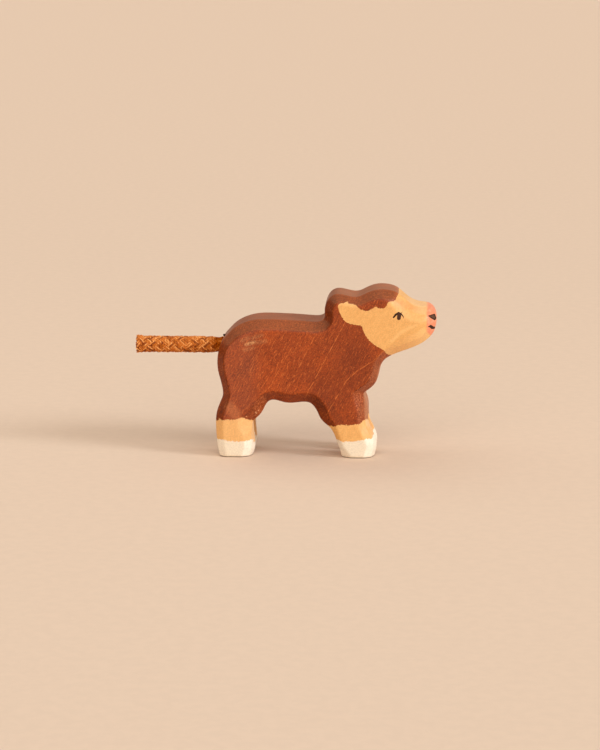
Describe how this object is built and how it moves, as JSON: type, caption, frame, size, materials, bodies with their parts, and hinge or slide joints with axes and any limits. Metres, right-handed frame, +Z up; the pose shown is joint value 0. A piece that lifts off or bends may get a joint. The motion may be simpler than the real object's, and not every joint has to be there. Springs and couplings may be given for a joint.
{
  "type": "wooden toy calf",
  "caption": "Standing toy calf sawn from a plank, carved along its edges and painted, with four legs and a stiff cord tail that bends.",
  "frame": {"origin": "centre of the wood's footprint at sole level, so the calf stands on Z = 0", "axes": "+X towards the muzzle, +Y to the calf's left side, across the plank, +Z up"},
  "size_m": [0.1055, 0.022, 0.0592],
  "materials": {
    "painted_wood": "satin stain and paint",
    "tail_cord": "waxed braid",
    "set_glue": "semi-gloss"
  },
  "bodies": {
    "calf": {"wood_body": "painted_wood", "tail_root": "tail_cord", "glue_plug": "set_glue", "glue_bead": "set_glue"},
    "tail": {"tail_flex": "tail_cord", "tail_end": "tail_cord"}
  },
  "joints": [
    {"name": "tail_bend", "type": "hinge", "parent": "calf", "child": "tail", "pos_m": [-0.04432, 0, 0.0381], "axis": [0, 1, 0], "range_deg": [-45, 40], "stiffness_Nm_per_rad": 0.01, "deforming": ["tail_flex"]}
  ]
}
